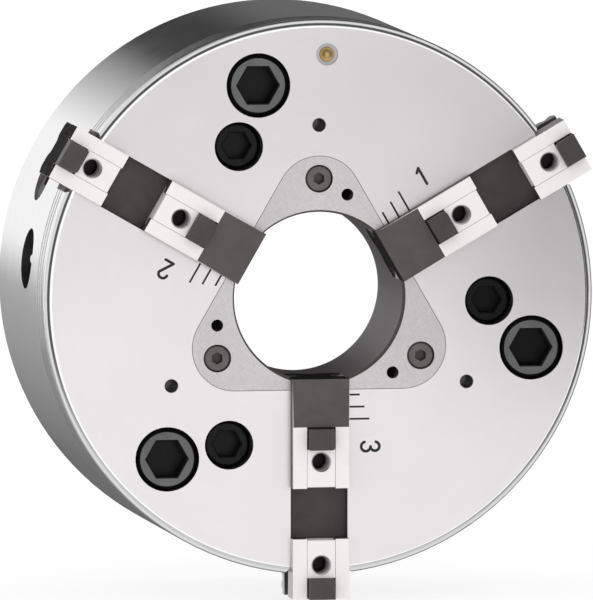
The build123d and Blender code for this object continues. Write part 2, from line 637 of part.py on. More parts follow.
def base_jaw():
    """Base jaw: guide profile, slanted rack on the back, cross slot and T-slots."""
    full = (JAW_INNER, JAW_OUTER)
    jaw = block(full, (-JAW_HALF, JAW_HALF), (-JAW_PROUD, RIB_TOP))
    jaw = chamfer(jaw.edges().group_by(Axis.Z)[-1], PAD_EDGE)
    jaw += block(full, (-WEB_HALF, WEB_HALF), (RIB_TOP - 1, RIB_BOTTOM + 1))
    rack = slanted_rack(JAW_INNER - 10, JAW_OUTER + 10, JAW_ROOT, JAW_ROOT + TOOTH_HEIGHT,
                        10 % TOOTH_PITCH + TOOTH_PITCH / 2, RIB_BOTTOM, JAW_HALF + OVER)
    jaw += block(full, (-JAW_HALF, JAW_HALF), (RIB_BOTTOM, JAW_ROOT + TOOTH_HEIGHT)) & rack
    cross = (CROSS_CENTRE - CROSS_HALF, CROSS_CENTRE + CROSS_HALF)
    jaw -= block(cross, (-JAW_HALF - OVER, JAW_HALF + OVER), (-JAW_PROUD - OVER, CROSS_FLOOR))
    jaw -= block((JAW_INNER - OVER, BLOCK_END), (-JAW_HALF - OVER, JAW_HALF + OVER),
                 (-JAW_PROUD - OVER, BLOCK_SINK - JAW_PROUD))
    for (start, end), station in zip(pad_spans(), NUT_SCREW_STATIONS):
        slot_end = end + OVER if end == JAW_OUTER else end
        neck = NUT_HALF + NUT_SIDE_GAP
        foot = NUT_FOOT_HALF + NUT_SIDE_GAP
        jaw -= block((start, slot_end), (-neck, neck), (-JAW_PROUD - OVER, NUT_NECK_FLOOR))
        jaw -= block((start, slot_end), (-foot, foot), (NUT_NECK_FLOOR, NUT_FLOOR + RUNNING))
        jaw -= rod(NUT_SCREW_R + SCREW_ROOM, NUT_FLOOR, NUT_FLOOR + NUT_SCREW_ROOM, station)
    return jaw


def nut_spans():
    """Radial spans of the two T-nuts and of the keys at their far ends from the slot."""
    inner, outer = pad_spans()
    inner_nut = (inner[0] + NUT_GAP, inner[1] - NUT_GAP)
    outer_nut = (outer[0] + NUT_GAP, outer[1])
    inner_key = (inner_nut[0], inner_nut[0] + KEY_LENGTH)
    outer_key = (outer_nut[1] - KEY_LENGTH, outer_nut[1])
    return (inner_nut, inner_key), (outer_nut, outer_key)


def t_nuts():
    """Inner and outer T-nut of one jaw, ground flush with the pads."""
    nuts = []
    for (nut_span, key_span), station in zip(nut_spans(), NUT_SCREW_STATIONS):
        shoulder = NUT_NECK_FLOOR + 2 * RUNNING
        nut = block(nut_span, (-NUT_HALF, NUT_HALF), (-JAW_PROUD, shoulder))
        nut = chamfer(nut.edges().group_by(Axis.Z)[-1], NUT_EDGE)
        nut += block(nut_span, (-NUT_FOOT_HALF, NUT_FOOT_HALF), (shoulder, NUT_FLOOR))
        nut -= block(key_span, (-NUT_HALF - OVER, NUT_HALF + OVER), (-JAW_PROUD - OVER, KEY_SEAT - JAW_PROUD))
        nut -= rod(NUT_SCREW_R, -JAW_PROUD - OVER, NUT_FLOOR + OVER, station)
        nut -= cone(NUT_SCREW_R + NUT_LEAD_IN, NUT_SCREW_R, -JAW_PROUD, NUT_LEAD_IN - JAW_PROUD, station)
        nuts.append(nut)
    return nuts


def jaw_keys():
    """Raised locating keys seated on the ends of the T-nuts."""
    keys = []
    for (_, key_span), towards_slot in zip(nut_spans(), (1, 0)):
        key = block(key_span, (-KEY_HALF, KEY_HALF), (-JAW_PROUD - KEY_RISE, KEY_SEAT - JAW_PROUD))
        corners = key.edges().filter_by(Axis.Z).group_by(Axis.X)[-towards_slot]
        key = fillet(corners.sort_by(Axis.Y)[-1], KEY_CORNER)
        key = chamfer(key.faces().sort_by(Axis.Z)[-1].edges(), KEY_CHAMFER)
        keys.append(key)
    return keys


def unlock_spindle():
    """Hexagon-socket spindle that draws the lock bolt back."""
    spindle = radial_rod(SPINDLE_HEAD_R, COLLAR_FACE_U - 1, SPINDLE_FACE_U, SPINDLE_V, SPINDLE_DEPTH)
    spindle += radial_rod(SPINDLE_BORE_R - RUNNING, SPINDLE_STEP_U + RUNNING, COLLAR_FACE_U,
                          SPINDLE_V, SPINDLE_DEPTH)
    spindle += radial_rod(SPINDLE_SHAFT_R, SPINDLE_SHAFT_END, SPINDLE_STEP_U + 1, SPINDLE_V, SPINDLE_DEPTH)
    place = Pos(SPINDLE_FACE_U - SPINDLE_SOCKET_DEPTH, SPINDLE_V, LENGTH - SPINDLE_DEPTH) * Rot(Y=90)
    hexagon = RegularPolygon(SPINDLE_SOCKET / 2, 6, major_radius=False)
    return spindle - place * extrude(hexagon, SPINDLE_SOCKET_DEPTH + OVER)


def lock_bolt():
    """Bolt whose tip holds the wedge bar; the spindle runs in its bore."""
    bolt = radial_rod(BOLT_R, BAR_OUTER + BOLT_GAP, BOLT_OUTER_U, SPINDLE_V, SPINDLE_DEPTH)
    bolt += radial_rod(BOLT_TIP_R, BOLT_TIP_U, BAR_OUTER + 1, SPINDLE_V, SPINDLE_DEPTH)
    return bolt - radial_rod(SPINDLE_SHAFT_R + RUNNING, BOLT_HOLE_U, BOLT_OUTER_U + OVER,
                             SPINDLE_V, SPINDLE_DEPTH)


# ---------------------------------------------------------------- export
def export_node(name, shapes):
    """Write one node, turned so that +Z is up and the chuck faces -Y."""
    if not isinstance(shapes, list):
        shapes = [shapes]
    solids = [solid for shape in shapes for solid in shape.solids()]
    upright = [Rot(X=90) * solid for solid in solids]
    export_step(upright[0] if len(upright) == 1 else Compound(upright), f"parts/{name}.step")


os.makedirs("parts", exist_ok=True)

export_node("chuck_body", chuck_body())
export_node("mounting_flange", mounting_flange())
export_node("centre_sleeve", centre_sleeve())
export_node("sleeve_seal", o_ring(SLEEVE_R - SEAL_SECTION, SLEEVE_SEAL_DEPTH))
export_node("cover_screws", cover_screws())
export_node("mounting_screws", mounting_screws())
export_node("flange_screws", flange_screws())
export_node("flange_dowels", flange_dowels())
export_node("retainer_screws", retainer_screws())
export_node("grease_nipples", at_each_jaw(grease_nipple()))
export_node("oiler_ball", oiler_ball())
export_node("spindle_clips", at_each_jaw(spindle_clip()))
export_node("draw_piston", draw_piston())
export_node("piston_seal", o_ring(SLEEVE_R + SEAL_SECTION + RUNNING / 2, PISTON_FRONT + PISTON_LIP / 2))
export_node("draw_tube_ring", draw_tube_ring())

for number, angle in enumerate(JAW_ANGLES, start=1):
    export_node(f"bar_retainer_{number}", turned(bar_retainer(), angle))
    export_node(f"wedge_bar_{number}", turned(wedge_bar(), angle))
    export_node(f"base_jaw_{number}", turned(base_jaw(), angle))
    export_node(f"t_nuts_{number}", [turned(nut, angle) for nut in t_nuts()])
    export_node(f"jaw_keys_{number}", [turned(key, angle) for key in jaw_keys()])
    export_node(f"unlock_spindle_{number}", turned(unlock_spindle(), angle))
    export_node(f"lock_bolt_{number}", turned(lock_bolt(), angle))
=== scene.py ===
from math import atan2, cos, hypot, pi, radians, sin

import bmesh
import bpy
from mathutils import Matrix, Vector


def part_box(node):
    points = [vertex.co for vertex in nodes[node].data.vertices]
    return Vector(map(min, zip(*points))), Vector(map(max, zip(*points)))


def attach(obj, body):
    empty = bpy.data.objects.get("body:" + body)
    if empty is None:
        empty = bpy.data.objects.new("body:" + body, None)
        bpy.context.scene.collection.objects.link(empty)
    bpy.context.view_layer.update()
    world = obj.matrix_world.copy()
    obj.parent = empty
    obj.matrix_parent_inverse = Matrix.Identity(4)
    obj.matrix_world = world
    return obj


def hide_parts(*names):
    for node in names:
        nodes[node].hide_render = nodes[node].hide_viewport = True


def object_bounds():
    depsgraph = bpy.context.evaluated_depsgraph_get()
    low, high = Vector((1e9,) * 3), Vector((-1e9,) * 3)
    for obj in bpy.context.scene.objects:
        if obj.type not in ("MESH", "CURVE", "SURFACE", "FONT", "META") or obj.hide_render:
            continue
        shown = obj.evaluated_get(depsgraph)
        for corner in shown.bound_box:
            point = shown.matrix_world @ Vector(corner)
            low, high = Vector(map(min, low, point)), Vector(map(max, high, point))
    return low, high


# Looks of a three-jaw power chuck.  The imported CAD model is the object; this script gives each
# region of each part its own finish, lights a small studio and sets the camera.
# Frame: metres, spindle axis along Y, front face towards -Y, +Z up, one jaw straight down.

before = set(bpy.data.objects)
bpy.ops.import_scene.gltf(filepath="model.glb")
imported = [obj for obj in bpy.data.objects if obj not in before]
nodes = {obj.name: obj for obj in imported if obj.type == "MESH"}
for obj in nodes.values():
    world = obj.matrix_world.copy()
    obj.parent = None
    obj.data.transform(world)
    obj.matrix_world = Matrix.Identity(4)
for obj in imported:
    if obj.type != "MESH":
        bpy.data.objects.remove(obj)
cad_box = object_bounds()

MM = 0.001
BODY_LOW, BODY_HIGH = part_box("chuck_body")
FRONT_Y = BODY_LOW.y
BODY_R = (BODY_HIGH.x - BODY_LOW.x) / 2
OILER = sum(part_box("oiler_ball"), Vector()) / 2
OILER_RECESS = 6 * MM
JAW_ANGLES = (30.0, 150.0, 270.0)

# The rest of these sizes are in millimetres; stations are distances from the spindle axis along
# a jaw, and depths are measured from the body's front face.
RIM_RADIUS = 3.0                # the rounded rim of the body
RIM = RIM_RADIUS + 0.05         # and a little more, to take in all of it
ENGRAVED = 0.4                  # inside INNER_ZONE, cuts shallower than this are engravings
INNER_ZONE = 0.6 * BODY_R / MM  # the engravings and the cover lie inside this radius
MOUTH_DEPTH = 13.0              # jaw slots get painted light and side recesses painted shade this far in
SLOT_HALF = 22.0                # past the sides of a jaw slot and the chamfers of its mouth
COVER_DEPTH = 10.0              # the cover, its holes and its seat lie above this depth
SLEEVE_SKIN = 34.3              # the sleeve's bore and its mouth lie inside this radius
RIB_DEPTHS = (6.2, 14.3)        # the ends of the jaws' guide ribs show inside the sleeve
RIB_HALF = 11.4                 # just past the sides of the slot that the ribs stand in
BLOCK_END = 49.8                # station where the dark inner block of a jaw ends
BLOCK_MIDDLE = BLOCK_END - 10   # between the block's inner and outer end faces
CROSS_END = 93.15               # station where the cross slot ends and the outer pad begins
JAW_REACH = 116.4
JAW_END_FROM = JAW_REACH - 0.5  # the outer end faces of a jaw and of its nut lie past these
NUT_END_FROM = JAW_REACH - 1.5
PAD_DEPTH = -4.5                # the bright pads stand out further than this
JAW_SIDE = 11.0                 # the flanks of a jaw lie just past this, across it
NUT_HOLES = (63.3, 103.3)       # stations of the threaded holes in the T-nuts
NUT_HOLE_R = 4.2
SKIN = 0.1                      # a face this near to a plane belongs to it
FLUSH = 0.01                    # and this near, it is the front face itself, not an engraving

# Parts of a unit normal along some axis
FLAT = 0.98                     # above this, the face is square to the axis
SQUARE = 0.9                    # above this, roughly so
ACROSS = 0.3                    # below this, the face runs roughly along the axis
FLANKING = 0.1                  # below this, closely so


# ---------------------------------------------------------------- node-tree helpers
class NodeTree:
    """A node tree under construction: add() makes a node and wires its inputs."""

    def __init__(self, tree):
        self.tree = tree

    def add(self, kind, inputs=None, **settings):
        node = self.tree.nodes.new("ShaderNode" + kind)
        for key, value in settings.items():
            setattr(node, key, value)
        for key, value in (inputs or {}).items():
            self.plug(node.inputs[key], value)
        return node

    def plug(self, socket, value):
        """Connect an output to the socket, or set the socket to a plain value."""
        if isinstance(value, bpy.types.NodeSocket):
            self.tree.links.new(value, socket)
        else:
            socket.default_value = value

    def math(self, operation, a, b=0.0):
        return self.add("Math", {0: a, 1: b}, operation=operation).outputs[0]

    def place(self):
        """Object coordinates in metres; they stay with a part when it moves."""
        return self.add("TexCoord").outputs["Object"]

    def stretched(self, scale, turn=0.0):
        """Object coordinates turned about the spindle axis by turn degrees, then scaled."""
        turned = self.add("Mapping", {"Vector": self.place(), "Rotation": (0, radians(turn), 0)})
        return self.add("Mapping", {"Vector": turned.outputs[0], "Scale": scale}).outputs[0]

    def polar(self):
        """Radius, angle and depth of a point about the spindle axis."""
        xyz = self.add("SeparateXYZ", {0: self.place()})
        x, y, z = xyz.outputs[0], xyz.outputs[1], xyz.outputs[2]
        squares = self.math("ADD", self.math("MULTIPLY", x, x), self.math("MULTIPLY", z, z))
        radius = self.math("SQRT", squares)
        return radius, self.math("ARCTAN2", z, x), y

    def noise(self, vector, scale, detail=3.0, roughness=0.55):
        return self.add("TexNoise", {"Vector": vector, "Scale": scale, "Detail": detail,
                                     "Roughness": roughness}).outputs["Fac"]

    def span(self, value, low, high, to_low=0.0, to_high=1.0):
        """Linear map of a value, clamped at both ends."""
        return self.add("MapRange", {"Value": value, "From Min": low, "From Max": high,
                                     "To Min": to_low, "To Max": to_high}).outputs[0]

    def mix(self, factor, a, b):
        node = self.add("Mix", data_type="RGBA")
        self.plug(node.inputs["Factor"], factor)
        self.plug(node.inputs[6], a)
        self.plug(node.inputs[7], b)
        return node.outputs[2]

    def bump(self, height, distance, strength=1.0, normal=None):
        inputs = {"Height": height, "Distance": distance, "Strength": strength}
        if normal is not None:
            inputs["Normal"] = normal
        return self.add("Bump", inputs).outputs[0]

    def ramp(self, value, stops):
        """Brightness read off a ramp of (position, brightness) stops."""
        ramp = self.add("ValToRGB", {0: value})
        while len(ramp.color_ramp.elements) < len(stops):
            ramp.color_ramp.elements.new(1.0)
        for element, (position, level) in zip(ramp.color_ramp.elements, stops):
            element.position = position
            element.color = grey(level)
        return ramp.outputs[0]


class Shader(NodeTree):
    """A material under construction."""

    def __init__(self, name):
        self.material = bpy.data.materials.new(name)
        self.material.use_nodes = True
        super().__init__(self.material.node_tree)
        self.bsdf = self.tree.nodes["Principled BSDF"]

    def edges(self, radius):
        """1 on worn edges, 0 on open surfaces."""
        rounded = self.add("Bevel", {"Radius": radius}, samples=4).outputs[0]
        flat = self.add("NewGeometry").outputs["Normal"]
        likeness = self.add("VectorMath", {0: rounded, 1: flat}, operation="DOT_PRODUCT")
        return self.span(likeness.outputs["Value"], 0.995, 0.90)

    def finish(self, **inputs):
        for key, value in inputs.items():
            self.plug(self.bsdf.inputs[key.replace("_", " ")], value)
        return self.material


def grey(level, warm=0.0):
    """Grey as RGBA, a little warmer when warm is above 0."""
    return (level * (1 + warm), level, level * (1 - warm), 1.0)


def tinted(level):
    """The faintly rosy white of the ground face."""
    return (level * 1.022, level * 0.983, level * 0.995, 1.0)


def rosy(level):
    """The warm, faintly pink grey of hardened steel."""
    return (level * 1.09, level * 0.98, level * 0.96, 1.0)


# ---------------------------------------------------------------- materials
def ground_face():
    """Ground face: satin, with very fine rings and cloudy reflections; a painted reflection greys it
    towards the top.
    """
    s = Shader("ground_face")
    radius, angle, depth = s.polar()
    ring = s.add("CombineXYZ", {0: radius, 1: s.math("MULTIPLY", angle, 0.002), 2: depth}).outputs[0]
    rings = s.noise(ring, 2600.0, 4.0)
    cloud = s.noise(s.place(), 22.0, 3.0)
    colour = s.mix(s.span(cloud, 0.3, 0.7), tinted(0.86), tinted(0.91))
    colour = s.mix(s.span(rings, 0.35, 0.65, 0.0, 0.05), colour, grey(0.66))
    # painted reflection: the base colour turns greyer with height
    height = s.add("SeparateXYZ", {0: s.place()}).outputs[2]
    colour = s.mix(s.span(height, -0.2 * BODY_R, 0.8 * BODY_R, 0.0, 0.7), colour, tinted(0.68))
    rough = s.math("ADD", s.span(cloud, 0.3, 0.7, 0.36, 0.42), s.span(rings, 0.3, 0.7, -0.02, 0.02))
    return s.finish(Base_Color=colour, Metallic=0.85, Roughness=rough,
                    Normal=s.bump(rings, 0.000004, 0.5))


def polished_side():
    """Polished cylinder with faint marks running round the axis."""
    s = Shader("polished_side")
    radius, angle, depth = s.polar()
    lap = s.add("CombineXYZ", {0: depth, 1: s.math("MULTIPLY", angle, 0.004), 2: 0.0}).outputs[0]
    marks = s.noise(lap, 1500.0, 4.0)
    smear = s.noise(s.place(), 30.0)
    colour = s.mix(s.span(marks, 0.35, 0.65), grey(0.80), grey(0.87))
    rough = s.math("ADD", s.span(smear, 0.3, 0.7, 0.09, 0.14), s.span(marks, 0.3, 0.7, -0.01, 0.02))
    return s.finish(Base_Color=colour, Metallic=1.0, Roughness=rough,
                    Normal=s.bump(marks, 0.000002, 0.4, rim_normal(s)))


def rim_normal(s):
    """Exact outward normal of the body's side and rounded rim, free of the mesh's facets."""
    xyz = s.add("SeparateXYZ", {0: s.place()})
    x, y, z = xyz.outputs[0], xyz.outputs[1], xyz.outputs[2]
    radius = s.polar()[0]
    share = s.math("DIVIDE", s.math("SUBTRACT", radius, BODY_R - RIM_RADIUS * MM), radius)
    forward = s.math("MINIMUM", s.math("SUBTRACT", y, FRONT_Y + RIM_RADIUS * MM), 0.0)
    normal = s.add("CombineXYZ", {0: s.math("MULTIPLY", x, share), 1: forward,
                                  2: s.math("MULTIPLY", z, share)})
    return s.add("VectorMath", {0: normal.outputs[0]}, operation="NORMALIZE").outputs[0]


def machined(name, level, rough=0.35, metallic=0.9):
    """Bored, milled or turned steel with fine tool marks and an oily play of tone."""
    s = Shader(name)
    marks = s.noise(s.stretched((0.15, 1.0, 0.15)), 900.0, 4.0)
    oil = s.noise(s.place(), 60.0)
    colour = s.mix(s.span(oil, 0.35, 0.65), tinted(level * 0.86), tinted(level))
    return s.finish(Base_Color=colour, Metallic=metallic,
                    Roughness=s.span(marks, 0.3, 0.7, rough - 0.06, rough + 0.08),
                    Normal=s.bump(marks, 0.000008, 0.4))


def turned_cover():
    """Light grey face of the lobed cover, with a fine grain of crossing scratches."""
    s = Shader("turned_cover")
    one = s.noise(s.stretched((1.0, 1.0, 0.12), 35.0), 2600.0, 4.0)
    two = s.noise(s.stretched((1.0, 1.0, 0.12), -50.0), 2600.0, 4.0)
    grain = s.noise(s.place(), 1500.0, 4.0)
    scratches = s.math("ADD", s.math("MULTIPLY", one, two), s.math("MULTIPLY", grain, 0.5))
    cloud = s.noise(s.place(), 40.0)
    colour = s.mix(s.span(scratches, 0.35, 0.65), tinted(0.56), tinted(0.67))
    rough = s.span(cloud, 0.3, 0.7, 0.36, 0.42)
    return s.finish(Base_Color=colour, Metallic=0.75, Roughness=rough,
                    Normal=s.bump(scratches, 0.000008, 0.5))


def sleeve_bore():
    """Dark honed bore of the sleeve with cross-hatched marks."""
    s = Shader("sleeve_bore")
    radius, angle, depth = s.polar()
    arc = s.math("MULTIPLY", angle, radius)
    along = s.math("MULTIPLY", arc, 0.05)
    one = s.add("CombineXYZ", {0: s.math("ADD", depth, arc), 1: along, 2: 0.0})
    two = s.add("CombineXYZ", {0: s.math("SUBTRACT", depth, arc), 1: along, 2: 0.0})
    hatch = s.math("MULTIPLY", s.noise(one.outputs[0], 1400.0), s.noise(two.outputs[0], 1400.0))
    colour = s.mix(s.span(hatch, 0.1, 0.45), rosy(0.085), rosy(0.115))
    return s.finish(Base_Color=colour, Metallic=0.15, Specular_IOR_Level=0.25,
                    Roughness=s.span(hatch, 0.1, 0.45, 0.42, 0.52),
                    Normal=s.bump(hatch, 0.00001, 0.3))


def ground_pad(turn):
    """Bright surface-ground pad; faint grinding marks run across the jaw."""
    s = Shader(f"ground_pad_{turn:.0f}")
    marks = s.noise(s.stretched((1.0, 1.0, 0.06), turn), 2600.0, 4.0)
    cloud = s.noise(s.place(), 90.0)
    colour = s.mix(s.span(marks, 0.3, 0.7), grey(0.845, 0.02), grey(0.87, 0.02))
    colour = s.mix(s.span(cloud, 0.62, 0.78, 0.0, 0.15), colour, grey(0.66, 0.03))
    return s.finish(Base_Color=colour, Metallic=0.12, Specular_IOR_Level=0.25,
                    Roughness=s.span(marks, 0.3, 0.7, 0.36, 0.46),
                    Normal=s.bump(marks, 0.000003, 0.2))


def dark_oxide(name, level, rough=0.42, wear=0.35, metallic=0.35, gloss=0.5, tint=rosy, grit=0.35):
    """Blackened hardened steel: fine mottle, oily sheen, paler only on worn edges."""
    s = Shader(name)
    grain = s.noise(s.place(), 1400.0, 4.0, 0.6)
    mottle = s.noise(s.place(), 120.0, 3.0)
    colour = s.mix(s.span(mottle, 0.3, 0.7), tint(level * 0.86), tint(level * 1.1))
    worn = s.math("MULTIPLY", s.edges(0.00030), s.span(mottle, 0.40, 0.70, 0.1, 1.0))
    colour = s.mix(s.math("MULTIPLY", worn, wear), colour, grey(0.40, 0.01))
    return s.finish(Base_Color=colour, Metallic=metallic, Specular_IOR_Level=gloss,
                    Roughness=s.span(grain, 0.3, 0.7, rough - 0.05, rough + 0.08),
                    Normal=s.bump(grain, 0.000012, grit))


def bright_metal(name, colour_low, colour_high, rough, metallic, centre=None):
    """Plated or polished small metal part; a ball is shaded exactly about its centre."""
    s = Shader(name)
    normal = None
    if centre is not None:
        outward = s.add("VectorMath", {0: s.place(), 1: centre}, operation="SUBTRACT").outputs[0]
        normal = s.add("VectorMath", {0: outward}, operation="NORMALIZE").outputs[0]
    cloud = s.noise(s.place(), 300.0)
    fine = s.noise(s.place(), 4000.0, 2.0)
    return s.finish(Base_Color=s.mix(s.span(cloud, 0.3, 0.7), colour_low, colour_high),
                    Metallic=metallic,
                    Roughness=s.span(cloud, 0.3, 0.7, rough - 0.04, rough + 0.06),
                    Normal=s.bump(fine, 0.000004, 0.3, normal))


def paint_black():
    """Black filler in the engraved scale lines and jaw numbers."""
    s = Shader("paint_black")
    grain = s.noise(s.place(), 3000.0)
    return s.finish(Base_Color=s.mix(grain, grey(0.012), grey(0.03)), Metallic=0.0,
                    Roughness=s.span(grain, 0.3, 0.7, 0.5, 0.7), Normal=s.bump(grain, 0.00002, 0.4))


def rubber():
    """Moulded seal."""
    s = Shader("rubber")
    grain = s.noise(s.place(), 2200.0)
    return s.finish(Base_Color=s.mix(grain, grey(0.014), grey(0.028)), Metallic=0.0,
                    Roughness=s.span(grain, 0.3, 0.7, 0.5, 0.65), Normal=s.bump(grain, 0.00002, 0.5))


GROUND_FACE = ground_face()
POLISHED_SIDE = polished_side()
TURNED_COVER = turned_cover()
SLEEVE_BORE = sleeve_bore()
PADS = {angle: ground_pad(angle) for angle in JAW_ANGLES}
PAINT_BLACK = paint_black()
RUBBER = rubber()

# painted shade: a darker copy of machined steel for bores, pockets and other insides
MACHINED_SHADED = machined("machined_painted_shade", 0.28)
MACHINED_LIGHT = machined("machined_light", 0.50, rough=0.38, metallic=0.7)
FLANK = machined("flank", 0.75, rough=0.30)
# painted light: a lighter copy of machined steel for slot mouths, rib ends in the sleeve and
# nut-hole chamfers
MOUTH_LIT = machined("slot_mouth_painted_light", 0.62, rough=0.34)
# painted shade: near-black machined steel in the openings near the rim outside the jaw slots
RECESS_SHADED = machined("recess_painted_shade", 0.07, rough=0.45)
# painted light: pale walls so that the deep threaded holes of the T-nuts don't fall dark
NUT_HOLE_LIT = machined("nut_hole_painted_light", 0.80, rough=0.40, metallic=0.3)
OILER_SEAT = machined("oiler_seat", 0.46)
REAR_GROUND = machined("rear_ground", 0.66, rough=0.34, metallic=0.5)
REAR_TURNED = machined("rear_turned", 0.42, rough=0.34, metallic=0.6)

JAW_DARK = dark_oxide("jaw_dark", 0.082, wear=0.12)
# painted shade: a darker copy of the jaw oxide for the recessed cross-slot floors
JAW_SLOT_SHADED = dark_oxide("jaw_slot_painted_shade", 0.056, rough=0.45, wear=0.0)
# painted shade: a near-black, matt copy of the jaw oxide for end faces of jaws and nuts and for
# front-facing floors by the cover
JAW_END_SHADED = dark_oxide("jaw_end_painted_shade", 0.012, rough=0.60, wear=0.05, metallic=0.0, gloss=0.02)
KEY_DARK = dark_oxide("key_dark", 0.062, rough=0.45, wear=0.10)
SCREW_FACE = dark_oxide("screw_face", 0.122, rough=0.40, wear=0.20, tint=grey)
SCREW_SMALL = dark_oxide("screw_small", 0.112, rough=0.40, wear=0.10)
# painted shade: a darker copy of the small screws' finish for their sockets and sides
SCREW_SOCKET_SHADED = dark_oxide("screw_socket_painted_shade", 0.080, rough=0.40, wear=0.10)
# painted shade: black oxide taken down to near black for screw sides, chamfers and sockets, for the
# whole flange and retainer screws and for the floors of the cover's holes
SCREW_SHADE_BLACK = dark_oxide("screw_black_painted_shade", 0.006, rough=0.30, wear=0.03, metallic=0.0, gloss=0.16,
                         tint=grey, grit=0.04)
STUD_THREAD = dark_oxide("stud_thread", 0.12, rough=0.34, wear=0.50, metallic=0.6, tint=grey)
SPINDLE_DARK = dark_oxide("spindle_dark", 0.045, rough=0.45, wear=0.20, metallic=0.1, gloss=0.25)

ZINC = bright_metal("zinc", grey(0.80), grey(0.92), rough=0.30, metallic=0.35)
BRASS = bright_metal("brass", (0.52, 0.34, 0.12, 1), (0.64, 0.46, 0.20, 1), rough=0.36,
                     metallic=0.9, centre=OILER)


# ---------------------------------------------------------------- real threads on the M16 screws
THREAD_LENGTH = 44 * MM
THREAD_R = 8 * MM
PITCH = 2 * MM
THREAD_DEPTH = 0.6 * PITCH
THREAD_ROOT = THREAD_R - THREAD_DEPTH
THREAD_SIDES = 36
TIP = 0.01 * MM                 # points this near to the end of a screw are on its end face
WELD = 0.001 * MM               # points nearer than this are one point
SHARP_ANGLE = radians(30)
# One turn of the thread along Y, as (share of the pitch, radius)
THREAD_PROFILE = ((0.0, THREAD_ROOT), (0.25, THREAD_ROOT), (0.56, THREAD_R), (0.69, THREAD_R))


def add_thread(mesh, x, z, start, end):
    """Closed screw thread along Y about (x, z): rings of a helix, held inside both ends."""
    steps = len(THREAD_PROFILE)
    turns = round((end - start) / PITCH)
    rings = []
    for ring in range(-steps, (turns + 2) * steps):
        share, radius = THREAD_PROFILE[ring % steps]
        level = start + PITCH * (ring // steps + share)
        rings.append([])
        for side in range(THREAD_SIDES):
            y = level + PITCH * side / THREAD_SIDES
            inside = start < y < end
            y = min(max(y, start), end)
            r = min(radius if inside else THREAD_ROOT, THREAD_ROOT + end - y)
            a = 2 * pi * side / THREAD_SIDES
            rings[-1].append(mesh.verts.new((x + r * cos(a), y, z + r * sin(a))))
    for index in range((turns + 1) * steps):
        for side in range(THREAD_SIDES):
            ahead = (side + 1) % THREAD_SIDES
            lead = steps if ahead == 0 else 0
            mesh.faces.new((rings[index][side], rings[index + 1][side],
                            rings[index + 1 + lead][ahead], rings[index + lead][ahead]))
    mesh.faces.new(rings[0])
    mesh.faces.new(rings[(turns + 1) * steps][::-1])


def stud_centres(points):
    """Centre of each of the three round ends that these points lie on, as (x, z) pairs."""
    third = radians(120)
    first = atan2(points[0].z, points[0].x)
    groups = ([], [], [])
    for point in points:
        groups[round((atan2(point.z, point.x) - first) / third) % 3].append(point)
    return [((min(p.x for p in group) + max(p.x for p in group)) / 2,
             (min(p.z for p in group) + max(p.z for p in group)) / 2) for group in groups]


def cut_shanks(mesh, start):
    """Take off everything behind the plane at start, and close the shanks there."""
    everything = mesh.verts[:] + mesh.edges[:] + mesh.faces[:]
    bmesh.ops.bisect_plane(mesh, geom=everything, plane_co=(0, start, 0), plane_no=(0, 1, 0),
                           clear_outer=True)
    cut = [edge for edge in mesh.edges
           if edge.is_boundary and all(abs(vert.co.y - start) < WELD for vert in edge.verts)]
    bmesh.ops.holes_fill(mesh, edges=cut, sides=0)


def thread_mesh(centres, start, end):
    """Mesh of one thread at each centre."""
    threads = bmesh.new()
    for x, z in centres:
        add_thread(threads, x, z, start, end)
    bmesh.ops.remove_doubles(threads, verts=threads.verts[:], dist=WELD)
    bmesh.ops.recalc_face_normals(threads, faces=threads.faces[:])
    result = bpy.data.meshes.new("threads")
    threads.to_mesh(result)
    return result


def threaded_screws(node_name):
    """Copy of the screws whose plain ends are replaced by real threads."""
    plain = nodes[node_name].data
    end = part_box(node_name)[1].y
    start = end - THREAD_LENGTH
    mesh = bmesh.new()
    mesh.from_mesh(plain)
    bmesh.ops.remove_doubles(mesh, verts=mesh.verts[:], dist=WELD)
    cut_shanks(mesh, start)
    tips = [vert.co for vert in plain.vertices if vert.co.y > end - TIP]
    mesh.from_mesh(thread_mesh(stud_centres(tips), start, end))
    for face in mesh.faces:
        face.smooth = True
    result = bpy.data.meshes.new("threaded_screws")
    mesh.to_mesh(result)
    carried = result.attributes.get("custom_normal")
    if carried:                     # they belonged to the points as they were before welding
        result.attributes.remove(carried)
    result.set_sharp_from_angle(angle=SHARP_ANGLE)
    piece = bpy.data.objects.new("threaded_screws", result)
    bpy.context.scene.collection.objects.link(piece)
    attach(piece, "housing")
    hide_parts(node_name)
    return piece


# ---------------------------------------------------------------- giving regions their finish
def depth_of(point):
    """Depth of a point behind the front face, in millimetres."""
    return (point.y - FRONT_Y) / MM


def radius_of(point):
    """Distance of a point from the spindle axis, in millimetres."""
    return hypot(point.x, point.z) / MM


def jaw_place(point, angle):
    """u and v of a point, in millimetres: along the jaw at that angle, and across it."""
    c, s = cos(radians(angle)), sin(radians(angle))
    return (point.x * c + point.z * s) / MM, (-point.x * s + point.z * c) / MM


def along_jaw(normal, angle):
    """Part of a normal that points outwards along the jaw at that angle."""
    return normal.x * cos(radians(angle)) + normal.z * sin(radians(angle))


def paint(node_name, choose, piece=None):
    """Give each polygon of a node, or of its piece, the material choose(centre, normal) returns."""
    mesh = (piece or nodes[node_name]).data
    mesh.materials.clear()
    slots = {}
    for polygon in mesh.polygons:
        material = choose(polygon.center, polygon.normal)
        if material.name not in slots:
            slots[material.name] = len(mesh.materials)
            mesh.materials.append(material)
        polygon.material_index = slots[material.name]


def paint_all(node_name, material):
    paint(node_name, lambda centre, normal: material)


def in_jaw_slot(point):
    """True where a point of the body belongs to one of the three jaw slots."""
    places = [jaw_place(point, angle) for angle in JAW_ANGLES]
    return any(u > 0 and abs(v) < SLOT_HALF for u, v in places)


